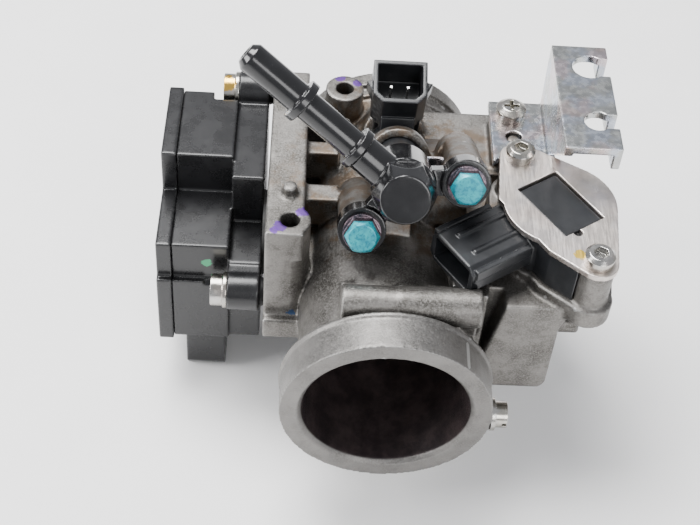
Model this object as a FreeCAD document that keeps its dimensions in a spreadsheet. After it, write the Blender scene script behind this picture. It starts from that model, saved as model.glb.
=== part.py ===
"""Throttle body of a small fuel-injected engine, as a parametric FreeCAD document.

Frame: the origin is the centre of the inlet ring's front face, +Y runs down the bore
towards the engine, +Z is up and +X is the cable side. Lengths are in millimetres and
angles in degrees.
"""
import FreeCAD, Part
import os
import re
import Sketcher

DIMENSIONS = """
bore_radius 19
mouth_radius 21.8
mouth_lip 1.1
mouth_taper_end 34
ring_radius 27.4
ring_length 10.9
rim_radius 27.9
rim_width 1.2
barrel_radius 23.2
total_length 104
flange_radius 25.6
flange_width 5
step_radius 24.3
step_width 3.5
seal_groove_inner 20.9
seal_groove_outer 23.3
seal_groove_depth 1.6
seal_ring_radius 1.05

shaft_y 62
shaft_radius 4
shaft_left -52
shaft_right 61
shaft_flat_depth 1.1
plate_thickness 1.8
plate_play 0.06
plate_slot_play 0.05
bush_radius 6
bush_length 7
seal_radius 6
seal_length 3
running_gap 0.03
boss_radius 8.6
boss_right 40
boss_left -33

wall_left -33
wall_thickness 5.5
wall_front 33
wall_back 97
wall_top 30
wall_bottom -27
beam_right -23
beam_bottom 20
ledge_front 30
ledge_top -1
ledge_bottom -8
post_a_x -26.6
post_a_y 38.5
post_b_x -13
post_b_y 91
post_radius 5.4
post_thread_radius 2.5
post_thread_depth 14

passage_y 17
passage_z 23.2
passage_radius 4.75
passage_left -13
passage_right 22.5

drain_y 17.3
drain_z -21.5
drain_boss_radius 4.6
drain_boss_end 30.6

tip_x 1.3
tip_y 88.7
tip_z 17
injector_lean 62
injector_core_radius 3.9
injector_length 56
overmold_radius 6.3
overmold_start 9.5
overmold_end 43
socket_radius 5.2
arch_start 28.5
arch_end 33
plug_y 82.1
plug_z 32.2
plug_lean 19.8
plug_width 14.6
plug_depth 13
plug_length 13.4
plug_wall 1.3
plug_cavity 9.5

joint_start 45
joint_rim 59.5
joint_radius 8.2
joint_top 68.5
ear_left_x -9.6
ear_left_w -12.6
ear_right_x 16
ear_right_w 1.2
ear_radius 6.3
ear_bottom 50
ear_top 56
stem_angle 141.7
stem_radius 3.95
stem_length 51.6
stem_level 55
bead_radius 5.6
bead_width 2.2
bead_near 15.5
bead_far 33.5

valve_x 42.9
valve_y 43.1
valve_turn 34.4
valve_face 23
valve_cover_bottom 34.4
valve_cover_top 36
valve_round 14.9
valve_ear_radius 5.2
valve_ear_a_x 1.7
valve_ear_a_y 19.2
valve_ear_b_x -5
valve_ear_b_y -20.9
seat_thickness 6
window_width 12.9
window_length 19.6
slide_radius 4.2
slide_x -6.6
slide_y -2
slide_length 12
slide_travel 6
socket4_left -32.5
socket4_width 17
socket4_middle 2.6
socket4_bottom 23.6
socket4_top 33.6
chamber_right 44.5
chamber_front 20.5
chamber_back 50
chamber_bottom -13

bracket_left 27.6
bracket_web 42.4
bracket_right 57.4
bracket_base_z 27.7
bracket_gauge 2.3
bracket_top_z 50
bracket_front 49.2
bracket_back 90
bracket_base_front 63.2
bracket_base_back 88.6
bracket_screw_x 33.4
bracket_screw_y 83
cable_slot_x 51.8
cable_slot_a_y 81.5
cable_slot_b_y 59.8
cable_slot_a_radius 4.5
cable_slot_b_radius 3.5

drum_left 46.6
drum_width 9
drum_radius 15
drum_groove_radius 12.4
spring_coil_radius 9.9
spring_wire_radius 0.8
spring_left 40.4
spring_turns 2.5
spring_pitch 1.75
stop_screw_x 47.8
stop_screw_y 81.5
stop_screw_tip -2.55
stop_lug_top -6
stop_lug_bottom -14

sensor_cap_left -62.9
sensor_cap_right -58.7
sensor_box_right -43
sensor_flange_right -34.3
sensor_back 94
sensor_top 23.5
sensor_step_y 67.5
sensor_step_z 10
sensor_front 44
sensor_bottom -26
sensor_wall 2
sensor_screw_a_y 39.5
sensor_screw_a_z 0
sensor_screw_b_y 97
sensor_screw_b_z 22.4
sensor_boss_radius 5.3
sensor_plug_bottom -43
"""

document = FreeCAD.newDocument("throttle_body")
sheet = document.addObject("Spreadsheet::Sheet", "Sizes")
names = []
for row, line in enumerate(DIMENSIONS.split("\n")):
    if line:
        alias, number = line.split()
        sheet.set(f"A{row + 1}", alias)
        sheet.set(f"B{row + 1}", number)
        sheet.setAlias(f"B{row + 1}", alias)
        names.append(alias)
document.recompute()

ORIGIN = (0, 0, 0)
AXES = {
    "x": FreeCAD.Vector(1, 0, 0),
    "y": FreeCAD.Vector(0, 1, 0),
    "z": FreeCAD.Vector(0, 0, 1),
}
TURNS = {
    "z": FreeCAD.Rotation(),
    "-z": FreeCAD.Rotation(AXES["x"], 180),
    "x": FreeCAD.Rotation(AXES["y"], 90),
    "-x": FreeCAD.Rotation(AXES["y"], -90),
    "y": FreeCAD.Rotation(AXES["x"], -90),
    "-y": FreeCAD.Rotation(AXES["x"], 90),
}
INJECTOR_FRAME = (("tip_x", "tip_y", "tip_z"), "x", "injector_lean")
PLUG_FRAME = (("tip_x", "plug_y", "plug_z"), "x", "plug_lean")
VALVE_FRAME = (("valve_x", "valve_y", 0), "z", "valve_turn")
subparts = []


def formula(text):
    """Write a formula with each dimension's name pointing at its cell."""
    def cell(match):
        word = match.group()
        return "Sizes." + word if word in names else word
    return re.sub(r"[a-z][a-z_0-9]*", cell, str(text))


def bind(item, **formulas):
    """Tie properties of an object to formulas of the sheet's dimensions."""
    for name, text in formulas.items():
        item.setExpression(name, formula(text))


def place(item, at, turn=None):
    """Put an object at a point given by formulas, with a fixed turn."""
    if turn is not None:
        item.Placement.Rotation = turn
    for axis, text in zip("xyz", at):
        item.setExpression("Placement.Base." + axis, formula(text))


def in_frame(item, frame):
    """Put an object built in a local frame where that frame stands."""
    at, axis, angle = frame
    item.Placement.Rotation = FreeCAD.Rotation(AXES[axis], 10)
    item.setExpression("Placement.Rotation.Angle", formula(angle))
    place(item, at)
    return item


def rod(radius, length, at=ORIGIN, along="z"):
    """A cylinder from a point along an axis."""
    item = document.addObject("Part::Cylinder", "Rod")
    bind(item, Radius=radius, Height=length)
    place(item, at, TURNS[along])
    return item


def taper(radius_a, radius_b, length, at=ORIGIN, along="z"):
    """A cone between two radii from a point along an axis."""
    item = document.addObject("Part::Cone", "Taper")
    bind(item, Radius1=radius_a, Radius2=radius_b, Height=length)
    place(item, at, TURNS[along])
    return item


def block(low, high):
    """A box between two corners."""
    item = document.addObject("Part::Box", "Block")
    sizes = [f"({b}) - ({a})" for a, b in zip(low, high)]
    bind(item, Length=sizes[0], Width=sizes[1], Height=sizes[2])
    place(item, low)
    return item


def hexagon(across_flats, length, at=ORIGIN, along="z"):
    """A six-sided prism, as a bolt head or nut."""
    item = document.addObject("Part::Prism", "Hexagon")
    item.Polygon = 6
    bind(item, Circumradius=f"({across_flats}) / sqrt(3)", Height=length)
    place(item, at, TURNS[along])
    return item


def ring(major, minor, at=ORIGIN, along="z"):
    """A torus round an axis."""
    item = document.addObject("Part::Torus", "Ring")
    bind(item, Radius1=major, Radius2=minor)
    place(item, at, TURNS[along])
    return item


def outline(corners, length, at=ORIGIN, along="z"):
    """A straight-sided outline pushed out along an axis.

    Along z the corners are (x, y), along x they are (y, z) and along y they are (x, z).
    """
    sketch = document.addObject("Sketcher::SketchObject", "Outline")
    count = len(corners)
    for index in range(count):
        sketch.addGeometry(Part.LineSegment(FreeCAD.Vector(index, index * index, 0),
                                            FreeCAD.Vector(index + 1, (index + 1) ** 2, 0)))
    rule = Sketcher.Constraint
    for index in range(count):
        sketch.addConstraint(rule("Coincident", index, 2, (index + 1) % count, 1))
    for index, corner in enumerate(corners):
        for kind, text in zip(("DistanceX", "DistanceY"), corner):
            number = sketch.addConstraint(rule(kind, -1, 1, index, 1, float(measure(text))))
            sketch.setExpression(f"Constraints[{number}]", formula(text))
    turns = {
        "z": FreeCAD.Rotation(),
        "x": FreeCAD.Rotation(AXES["y"], AXES["z"], AXES["x"], "ZXY"),
        "y": FreeCAD.Rotation(AXES["x"], 90),
    }
    place(sketch, at, turns[along])
    item = document.addObject("Part::Extrusion", "Plate")
    item.Base = sketch
    item.DirMode = "Custom"
    item.Dir = AXES[along]
    item.Solid = True
    bind(item, LengthFwd=length)
    return item


def measure(text):
    """The present value of a formula, for a sketch's first guess."""
    value = sheet.evalExpression(formula(text))
    return getattr(value, "Value", value)


def join(*items):
    """Fuse several shapes at once, or two shapes one with the other."""
    if len(items) == 2:
        item = document.addObject("Part::Fuse", "Join")
        item.Base, item.Tool = items
    else:
        item = document.addObject("Part::MultiFuse", "Join")
        item.Shapes = list(items)
    item.Refine = True
    return item


def cut(base, *tools):
    """Take tools away from a base shape."""
    item = document.addObject("Part::Cut", "Cut")
    item.Base = base
    item.Tool = tools[0] if len(tools) == 1 else join(*tools)
    item.Refine = True
    return item


def overlap(base, tool):
    """Keep only what two shapes share."""
    item = document.addObject("Part::Common", "Overlap")
    item.Base = base
    item.Tool = tool
    return item


def group(*items):
    """Keep several separate solids as one node."""
    item = document.addObject("Part::Compound", "Group")
    item.Links = list(items)
    return item


def subpart(label, item):
    """Name a finished piece after its node."""
    item.Label = label
    subparts.append(item)
    return item


def bore_tools():
    """The air path: a rounded mouth, a taper and the straight bore."""
    return [
        taper("mouth_radius + mouth_lip", "mouth_radius", "mouth_lip + 0.2", (0, -0.2, 0), "y"),
        taper("mouth_radius", "bore_radius", "mouth_taper_end", (0, 0, 0), "y"),
        rod("bore_radius", "total_length + 2", (0, -1, 0), "y"),
    ]


def barrel():
    """The round body along the bore, with the inlet ring and the engine flange."""
    return [
        rod("ring_radius", "ring_length", ORIGIN, "y"),
        rod("rim_radius", "rim_width", (0, "ring_length - rim_width", 0), "y"),
        rod("barrel_radius", "total_length - 1", ORIGIN, "y"),
        rod("flange_radius", "flange_width", (0, "total_length - flange_width", 0), "y"),
        rod("step_radius", "step_width + 0.1",
            (0, "total_length - flange_width - step_width", 0), "y"),
    ]


def sensor_wall():
    """The cast wall that carries the sensor unit, with its posts and ledge."""
    return [
        block(("wall_left", "wall_front", "ledge_bottom"),
              ("wall_left + wall_thickness", "wall_back", "wall_top")),
        block(("wall_left", 47, "wall_bottom + 9"),
              ("wall_left + wall_thickness", "wall_back", 0)),
        block(("wall_left", 56, "wall_bottom"),
              ("wall_left + wall_thickness", "wall_back", 0)),
        rod("sensor_boss_radius", "beam_right - wall_left",
            ("wall_left", "sensor_screw_b_y", "sensor_screw_b_z"), "x"),
        block(("wall_left", "wall_front", "beam_bottom"),
              ("beam_right", "wall_back", "wall_top")),
        block(("wall_left", "ledge_front", "ledge_bottom"), (-21, 36, "ledge_top")),
        rod("post_radius", "wall_top - ledge_top", ("post_a_x", "post_a_y", "ledge_top")),
        rod("post_radius", "wall_top - 12", ("post_b_x", "post_b_y", 12)),
        rod(2.1, 14, ("post_b_x", "post_b_y - 9.5", 12)),
        rod(1.9, 13, ("post_a_x - 0.4", "post_a_y + 9.5", "beam_bottom")),
        block((-28, 33, "ledge_bottom"), (-12, 38, 0)),
        block((-28, 36, -3), (-14, 94, 12)),
        block((-28, 84, -18), (-15, 94, 24)),
        block((-28, 52, 14), (-14, 58, 24)),
        block((-28, 70, 14), (-14, 75, 24)),
        rod("boss_radius", "-boss_left", ("boss_left", "shaft_y", 0), "x"),
    ]


def cable_side():
    """The cast chamber and seat under the idle air valve, and the bracket's pad."""
    chamber = outline([(23.5, "chamber_bottom"), ("chamber_right - 1.6", "chamber_bottom"),
                       ("chamber_right", "chamber_bottom + 2.5"), ("chamber_right", 12),
                       ("chamber_right + 2.4", 20), (29.5, 20)],
                      "chamber_back - chamber_front", ("0", "chamber_back", "0"), "y")
    chamber.Dir = FreeCAD.Vector(0, -1, 0)
    return [
        chamber,
        block((16, 27, -10), (30, "chamber_back", 20)),
        block((23, 22, -9), (25, "chamber_back", 22)),
        rod("boss_radius", "boss_right", (0, "shaft_y", 0), "x"),
        block((14, 49, 6), (40, 70, 18)),
        block((10, 67, 4), (31, 92, 22)),
        block((28.3, 70, 14), (40.6, 87.5, "bracket_base_z")),
        rod(1.7, 2, (33.8, 74.2, "bracket_base_z - 0.5"), "z"),
        rod(2.6, 9, (43, 30.5, 3.2), "x"),
        rod("drain_boss_radius", "drain_boss_end - 6", (6, "drain_y", "drain_z"), "x"),
        rod("passage_radius", "passage_right - passage_left",
            ("passage_left", "passage_y", "passage_z"), "x"),
        rod("passage_radius + 0.25", "passage_right - 1.5",
            (1.5, "passage_y", "passage_z"), "x"),
        block(("passage_left", "passage_y", 12), ("passage_right", "passage_y + 9", 21.5)),
    ]


def valve_outline(grow, bottom, top):
    """The idle air valve's outline in its own frame: a round with two ears and a flat side."""
    corners = [(f"-2.9 - {grow}", f"21.8 + {grow}"), (f"-12.9 - {grow}", f"9.5 + {grow}"),
               (f"-13.2 - {grow}", -11.5), (f"-9.9 - {grow}", -22.5), (-1.3, f"-24.6 - {grow}"),
               (f"10.6 + {grow}", f"-10.5 - {grow}"), (f"14 + {grow}", 5.3),
               (f"6.6 + {grow}", f"20.9 + {grow}")]
    height = f"({top}) - ({bottom})"
    return [
        outline(corners, height, (0, 0, bottom), "z"),
        rod(f"valve_round + {grow}", height, (0, 0, bottom)),
        rod(f"valve_ear_radius + {grow}", height, ("valve_ear_a_x", "valve_ear_a_y", bottom)),
        rod(f"valve_ear_radius + {grow}", height, ("valve_ear_b_x", "valve_ear_b_y", bottom)),
    ]


def valve_seat():
    """The cast flange under the idle air valve, with a pillar at each of its screws."""
    pillars = [rod("valve_ear_radius - 0.6", "valve_cover_bottom - valve_face",
                   (f"valve_ear_{name}_x", f"valve_ear_{name}_y", "valve_face"))
               for name in ("a", "b")]
    return in_frame(join(*valve_outline(0.9, "valve_face - seat_thickness", "valve_face"), *pillars),
                    VALVE_FRAME)


def injector_seat():
    """The cast boss, cradle and bolt towers that hold the injector and fuel joint."""
    towers = [
        rod("ear_radius - 0.4", 24, ("ear_left_x", "ear_left_w", "ear_bottom - 24")),
        rod("ear_radius - 0.4", 24, ("ear_right_x", "ear_right_w", "ear_bottom - 24")),
        rod("overmold_radius + 2.6", 11, (0, 0, -2)),
        rod("overmold_radius + 2.4", "arch_end - arch_start", (0, 0, "arch_start")),
        block((-6, -16, 4), (6, -4, "arch_end - 0.6")),
        block(("ear_left_x - 3", -18, "ear_bottom - 22"), (4, "ear_left_w + 2", "ear_bottom - 5")),
        block((6, -16, 12), ("ear_right_x + 3", "ear_right_w", "ear_bottom - 12")),
    ]
    return in_frame(join(*towers), INJECTOR_FRAME)


def injector_tools():
    """The stepped hole for the injector and the bolt holes beside it."""
    tools = [
        rod("injector_core_radius + 0.4", 20, (0, 0, -14)),
        rod("socket_radius", "overmold_start + 1", (0, 0, 1)),
        rod("overmold_radius + 0.15", "overmold_end", (0, 0, "overmold_start - 0.4")),
        rod("overmold_radius + 1.2", 3.6, (0, 0, 24.5)),
        block(("-plug_width / 2 - 0.6", 0, "overmold_start - 0.4"), ("plug_width / 2 + 0.6", 30, 27)),
        rod("post_thread_radius", 16, ("ear_left_x", "ear_left_w", "ear_bottom - 15.5")),
        rod("post_thread_radius", 16, ("ear_right_x", "ear_right_w", "ear_bottom - 15.5")),
        block((-16, -8, "ear_bottom"), (24, 12, "ear_bottom + 14")),
        block((-3, -6, "arch_end - 0.3"), (12, 14, "ear_bottom - 4")),
    ]
    plug_room = join(block(("-plug_width / 2 - 2.4", "-plug_depth / 2 - 0.8", -0.8),
                           ("plug_width / 2 + 2.4", "plug_depth / 2 + 0.8", "plug_length + 2")),
                     block((-7.1, -6.2, -7), (7.1, 6.2, 0)))
    return [in_frame(join(*tools), INJECTOR_FRAME), in_frame(plug_room, PLUG_FRAME)]


def shaft_tools():
    """Holes across the casting for the throttle shaft, its bushes and its seals."""
    right_bush = "boss_right - bush_length - seal_length"
    left_bush = "boss_left + seal_length"
    return [
        rod("shaft_radius + running_gap", "boss_right - boss_left + 2",
            ("boss_left - 1", "shaft_y", 0), "x"),
        rod("bush_radius", "bush_length + seal_length + 1", (right_bush, "shaft_y", 0), "x"),
        rod("bush_radius", "bush_length + seal_length + 1", ("boss_left - 1", "shaft_y", 0), "x"),
    ]


def screw_tools():
    """Threaded holes in the casting, at their minor diameters."""
    ear_a = ("valve_ear_a_x", "valve_ear_a_y", "valve_face - 12")
    ear_b = ("valve_ear_b_x", "valve_ear_b_y", "valve_face - 12")
    ways = [rod(2.15, "valve_cover_bottom - valve_face + 1",
                (f"valve_ear_{name}_x", f"valve_ear_{name}_y", "valve_face"))
            for name in ("a", "b")]
    half = "(socket4_width / 2 + 0.4)"
    socket_room = block(("socket4_left - 0.4", f"socket4_middle - {half}", "socket4_bottom - 0.4"),
                        (-12, f"socket4_middle + {half}", "socket4_top + 1"))
    valve_holes = join(rod(1.65, 13, ear_a), rod(1.65, 13, ear_b), *ways, socket_room,
                       rod("slide_radius + running_gap + 0.05", "slide_length + slide_travel + 9",
                           ("slide_x", "slide_y", "valve_face - slide_length - slide_travel - 2")))
    tools = [in_frame(valve_holes, VALVE_FRAME)]
    for name in ("a", "b"):
        tools.append(rod("post_thread_radius", "post_thread_depth + 1",
                         (f"post_{name}_x", f"post_{name}_y", "wall_top - post_thread_depth")))
    for name in ("a", "b"):
        tools.append(rod(1.65, 9, ("wall_left - 1", f"sensor_screw_{name}_y",
                                   f"sensor_screw_{name}_z"), "x"))
    tools.append(rod(2.1, 11, ("bracket_screw_x", "bracket_screw_y", "bracket_base_z - 10")))
    tools.append(rod(2.5, 9, ("drain_boss_end - 8", "drain_y", "drain_z"), "x"))
    return tools


def air_passages():
    """The idle air's way round the throttle plate, and the drilling from its mouth."""
    return [
        rod(2, 36, (0, 36.5, 9), "x"),
        rod(2, 27, (36, 39, 14.5), "y"),
        rod(1.8, 37, (0, 65.5, 14.5), "x"),
        rod(1.2, 24, ("passage_left - 1", "passage_y", "passage_z"), "x"),
        rod(1.6, 12, (0, 80, -31)),
    ]


def throttle_housing():
    """The aluminium casting."""
    vacuum_nipple = [rod(3, 7, (0, 80, -30)), rod(5, 6, (0, 80, -25))]
    stop_lug = [rod(4.2, "stop_lug_top - stop_lug_bottom",
                    ("stop_screw_x", "stop_screw_y", "stop_lug_bottom")),
                block((17, "stop_screw_y - 4.2", "stop_lug_bottom"),
                      ("stop_screw_x", "stop_screw_y + 4.2", "stop_lug_top"))]
    body = join(*barrel())
    for region in (sensor_wall(), cable_side(), [valve_seat(), injector_seat()],
                   [*vacuum_nipple, *stop_lug]):
        body = join(body, join(*region))
    groove = cut(rod("seal_groove_outer", "seal_groove_depth + 1",
                     (0, "total_length - seal_groove_depth", 0), "y"),
                 rod("seal_groove_inner", "seal_groove_depth + 3",
                     (0, "total_length - seal_groove_depth - 1", 0), "y"))
    stop_hole = rod(2.05, 12, ("stop_screw_x", "stop_screw_y", "stop_lug_bottom - 2"))
    for tools in (bore_tools(), injector_tools(), shaft_tools(), screw_tools(),
                  air_passages(), [groove, stop_hole]):
        body = cut(body, *tools)
    return subpart("throttle_housing", body)


def engine_seal():
    """The rubber ring in the groove of the engine face."""
    middle = "(seal_groove_inner + seal_groove_outer) / 2"
    level = "total_length - seal_groove_depth + seal_ring_radius"
    return subpart("engine_side_seal_ring", ring(middle, "seal_ring_radius", (0, level, 0), "y"))


def shaft_bushes():
    """The two plain bushes pressed into the casting."""
    bore = "shaft_radius + running_gap"
    places = {"left": "boss_left + seal_length",
              "right": "boss_right - bush_length - seal_length"}
    for side, start in places.items():
        tube = cut(rod("bush_radius", "bush_length", (start, "shaft_y", 0), "x"),
                   rod(bore, "bush_length + 2", (f"{start} - 1", "shaft_y", 0), "x"))
        subpart(f"shaft_bush_{side}", tube)


def shaft_seals():
    """The two lip seals outside the bushes."""
    starts = ("boss_left", "boss_right - seal_length")
    rings = []
    for start in starts:
        rings.append(cut(rod("seal_radius", "seal_length - 0.2", (f"{start} + 0.1", "shaft_y", 0), "x"),
                         rod("shaft_radius + running_gap + 0.03", "seal_length + 1",
                             (f"{start} - 0.5", "shaft_y", 0), "x")))
    subpart("shaft_seals", group(*rings))


def throttle_shaft():
    """The steel shaft, with its slot for the plate, a flat for the drum and a threaded end."""
    bar = rod("shaft_radius", "drum_left + drum_width - shaft_left",
              ("shaft_left", "shaft_y", 0), "x")
    thread = rod(2.5, "shaft_right - drum_left", ("drum_left", "shaft_y", 0), "x")
    slot_half = "plate_thickness / 2 + plate_slot_play"
    slot = block(("-bore_radius - 0.4", f"shaft_y - ({slot_half})", -6),
                 ("bore_radius + 0.4", f"shaft_y + {slot_half}", 6))
    flats = [block(("drum_left", "shaft_y - 6", "shaft_radius - shaft_flat_depth"),
                   ("shaft_right + 1", "shaft_y + 6", "shaft_radius + 2")),
             block(("drum_left", "shaft_y - 6", "-shaft_radius - 2"),
                   ("shaft_right + 1", "shaft_y + 6", "shaft_flat_depth - shaft_radius"))]
    tang = block(("shaft_left - 1", "shaft_y + 1.5", -6), ("sensor_cap_right + 14", "shaft_y + 7", 6))
    holes = [rod(1.2, 12, (place_x, "shaft_y - 6", 0), "y") for place_x in (-9, 9)]
    closed = cut(join(bar, thread), slot, *flats, tang, *holes)
    return subpart("throttle_shaft", closed)


def throttle_plate():
    """The round brass plate that closes the bore, drawn closed across it."""
    disc = rod("bore_radius - plate_play", "plate_thickness",
               (0, "shaft_y - plate_thickness / 2", 0), "y")
    holes = [rod(1.2, 12, (place_x, "shaft_y - 6", 0), "y") for place_x in (-9, 9)]
    return subpart("throttle_plate", cut(disc, *holes))


def throttle_plate_screws():
    """The two screws through the shaft and plate, their ends spread behind."""
    screws = []
    for place_x in (-9, 9):
        shank = rod(1.2, 8, (place_x, "shaft_y - 4", 0), "y")
        head = taper(1.2, 2.2, 1.1, (place_x, "shaft_y - 3.9", 0), "-y")
        screws.append(join(shank, head))
    subpart("throttle_plate_screws", group(*screws))


def throttle_drum():
    """The two-groove cable drum, cut away where no cable runs."""
    body = rod("drum_radius", "drum_width", ("drum_left", "shaft_y", 0), "x")
    grooves = []
    for start in ("drum_left + 1.2", "drum_left + drum_width - 4.2"):
        disc = rod("drum_radius + 1", 3, (start, "shaft_y", 0), "x")
        grooves.append(cut(disc, rod("drum_groove_radius", 5, (f"{start} - 1", "shaft_y", 0), "x")))
    nipples = [rod(2, "drum_width - 1.2", ("drum_left + 1.2", "shaft_y + 9.4", 6.5), "x"),
               rod(2, "drum_width - 1.2", ("drum_left + 1.2", "shaft_y - 9.4", 6.5), "x")]
    away = block(("drum_left - 1", "shaft_y - 16", -16),
                 ("drum_left + drum_width + 1", "shaft_y - 1", -7))
    bar = rod("shaft_radius + 0.02", "drum_width + 2", ("drum_left - 1", "shaft_y", 0), "x")
    flats = block(("drum_left - 1", "shaft_y - 6", "shaft_flat_depth - shaft_radius - 0.02"),
                  ("drum_left + drum_width + 1", "shaft_y + 6", "shaft_radius - shaft_flat_depth + 0.02"))
    stop_arm = block(("drum_left", "shaft_y + 12", "stop_screw_tip + 0.05"),
                     ("drum_left + 2.4", "stop_screw_y + 2.4", 2.5))
    solid = cut(join(cut(body, *grooves, *nipples, away), stop_arm), overlap(bar, flats))
    return subpart("throttle_drum", solid)


def drum_fasteners():
    """The washer and nut that hold the drum on the shaft."""
    face = "drum_left + drum_width"
    hole = rod(2.55, 8, (f"{face} - 1", "shaft_y", 0), "x")
    washer = cut(rod(5.6, 1.2, (face, "shaft_y", 0), "x"), hole)
    subpart("drum_washer", washer)
    hole = rod(2.55, 8, (f"{face} - 1", "shaft_y", 0), "x")
    nut = cut(hexagon(8, 3.6, (f"{face} + 1.2", "shaft_y", 0), "x"), hole)
    subpart("drum_nut", nut)


def coil(radius, wire, pitch, turns, at, along="z"):
    """A coil of round wire that winds along an axis."""
    line = document.addObject("Part::Helix", "Line")
    line.SegmentLength = 1
    bind(line, Radius=radius, Pitch=pitch, Height=f"({pitch}) * ({turns})")
    section = document.addObject("Part::Circle", "Section")
    section.Placement.Rotation = TURNS["-y"]
    bind(section, Radius=wire)
    place(section, (radius, 0, 0))
    item = document.addObject("Part::Sweep", "Coil")
    item.Sections = [section]
    item.Spine = line
    item.Solid = True
    item.Frenet = True
    place(item, at, TURNS[along])
    return item


def return_spring():
    """The coil spring round the shaft boss that closes the throttle."""
    subpart("return_spring", coil("spring_coil_radius", "spring_wire_radius", "spring_pitch",
                                  "spring_turns", ("spring_left + spring_wire_radius",
                                                   "shaft_y", 0), "x"))


def stop_screw():
    """The factory-set closed stop: a threaded stem with a slotted head and its spring."""
    at = ("stop_screw_x", "stop_screw_y")
    head_top = "stop_lug_bottom - 4.5"
    stem = rod(2, f"stop_screw_tip - ({head_top}) + 1", (*at, f"{head_top} - 1"))
    head = rod(3.4, 3, (*at, f"{head_top} - 3"))
    slot = block((f"{at[0]} - 4", f"{at[1]} - 0.4", f"{head_top} - 4"),
                 (f"{at[0]} + 4", f"{at[1]} + 0.4", f"{head_top} - 2"))
    subpart("stop_screw", cut(join(stem, head), slot))
    subpart("stop_screw_spring", coil(2.7, 0.4, 1.05, 3.3, (*at, f"{head_top} + 0.5")))


def sensor_profile(grow):
    """The stepped side profile that the sensor box and its cap share, as (y, z) corners."""
    return [(f"sensor_back + {grow}", f"sensor_top + {grow}"),
            (f"sensor_step_y - {grow}", f"sensor_top + {grow}"),
            (f"sensor_step_y - {grow}", f"sensor_step_z + {grow}"),
            (f"sensor_front + 2 - {grow}", f"sensor_step_z + {grow}"),
            (f"sensor_front + 2 - {grow}", f"-2.4 + {grow}"),
            (f"sensor_front - {grow}", f"-2.4 + {grow}"),
            (f"sensor_front - {grow}", f"sensor_bottom - {grow}"),
            (f"sensor_back + {grow}", f"sensor_bottom - {grow}")]


def sensor_bosses(radius, left, right):
    """A round at each of the sensor unit's two screws."""
    return [rod(radius, f"{right} - ({left})",
                (left, f"sensor_screw_{name}_y", f"sensor_screw_{name}_z"), "x")
            for name in ("a", "b")]


def sensor_housing():
    """The black moulding of the combined sensor unit, with its socket below."""
    box = outline(sensor_profile(0), "sensor_box_right - sensor_cap_right",
                  ("sensor_cap_right", 0, 0), "x")
    flange = outline([(98, "sensor_bottom"), (98, "sensor_top - 1.5"), (61, "sensor_top - 1.5"),
                      (61, 5.2), ("sensor_front + 1", 5.2), ("sensor_front + 1", "sensor_bottom")],
                     "sensor_flange_right - sensor_box_right", ("sensor_box_right", 0, 0), "x")
    plug = outline([(46, -24), (46, "sensor_plug_bottom + 3"), (48, "sensor_plug_bottom"),
                    (60, "sensor_plug_bottom"), (62, "sensor_plug_bottom + 3"), (62, -24)],
                   11.2, (-55.5, 0, 0), "x")
    hollow = block(("sensor_cap_right - 1", "sensor_front + sensor_wall + 2",
                    "sensor_bottom + sensor_wall"),
                   ("sensor_box_right - sensor_wall", "sensor_back - sensor_wall",
                    "sensor_step_z - sensor_wall"))
    socket = block((-53.8, 48, "sensor_plug_bottom - 1"), (-46, 60, "sensor_bottom - 1"))
    shaft_hole = rod("shaft_radius + 1", 30, (-62, "shaft_y", 0), "x")
    tab = block(("sensor_box_right", 40, -4.8), ("sensor_flange_right", "sensor_front + 3", 4.8))
    head_room = sensor_bosses(5.9, "sensor_box_right - 7", "sensor_box_right")
    bosses = sensor_bosses("sensor_boss_radius", "sensor_box_right", "sensor_flange_right")
    pads = sensor_bosses("sensor_boss_radius - 1.4", "sensor_flange_right - 1", "wall_left")
    screw_holes = sensor_bosses(2.2, -60, "wall_left + 1")
    solid = cut(join(cut(box, hollow), flange, plug, tab), *head_room, socket, shaft_hole)
    solid = cut(join(solid, *bosses, *pads), *screw_holes)
    return subpart("sensor_housing", solid)


def sensor_cap():
    """The cap that closes the outer side of the sensor unit."""
    lid = outline(sensor_profile(0.7), "sensor_cap_right - sensor_cap_left",
                  ("sensor_cap_left", 0, 0), "x")
    return subpart("sensor_cap", lid)


def sensor_insides():
    """The magnet holder on the shaft, the circuit board and the socket's blades."""
    rotor = cut(rod(7, 4.4, ("shaft_left - 0.2", "shaft_y", 0), "x"),
                overlap(rod("shaft_radius + 0.02", 9, ("shaft_left - 2", "shaft_y", 0), "x"),
                        block(("shaft_left - 3", "shaft_y - 6", -6), (-40, "shaft_y + 1.52", 6))))
    subpart("sensor_rotor", rotor)
    board = block((-56.4, "sensor_front + sensor_wall + 2.5", "sensor_bottom + sensor_wall + 0.5"),
                  (-54.8, "sensor_step_y + 12", "sensor_step_z - sensor_wall - 0.5"))
    subpart("sensor_circuit_board", board)
    blades = [block((-50.3, 49.6 + index * 2.2, -36.5), (-49.6, 50.8 + index * 2.2, -27))
              for index in range(4)]
    subpart("sensor_socket_blades", group(*blades))


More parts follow.
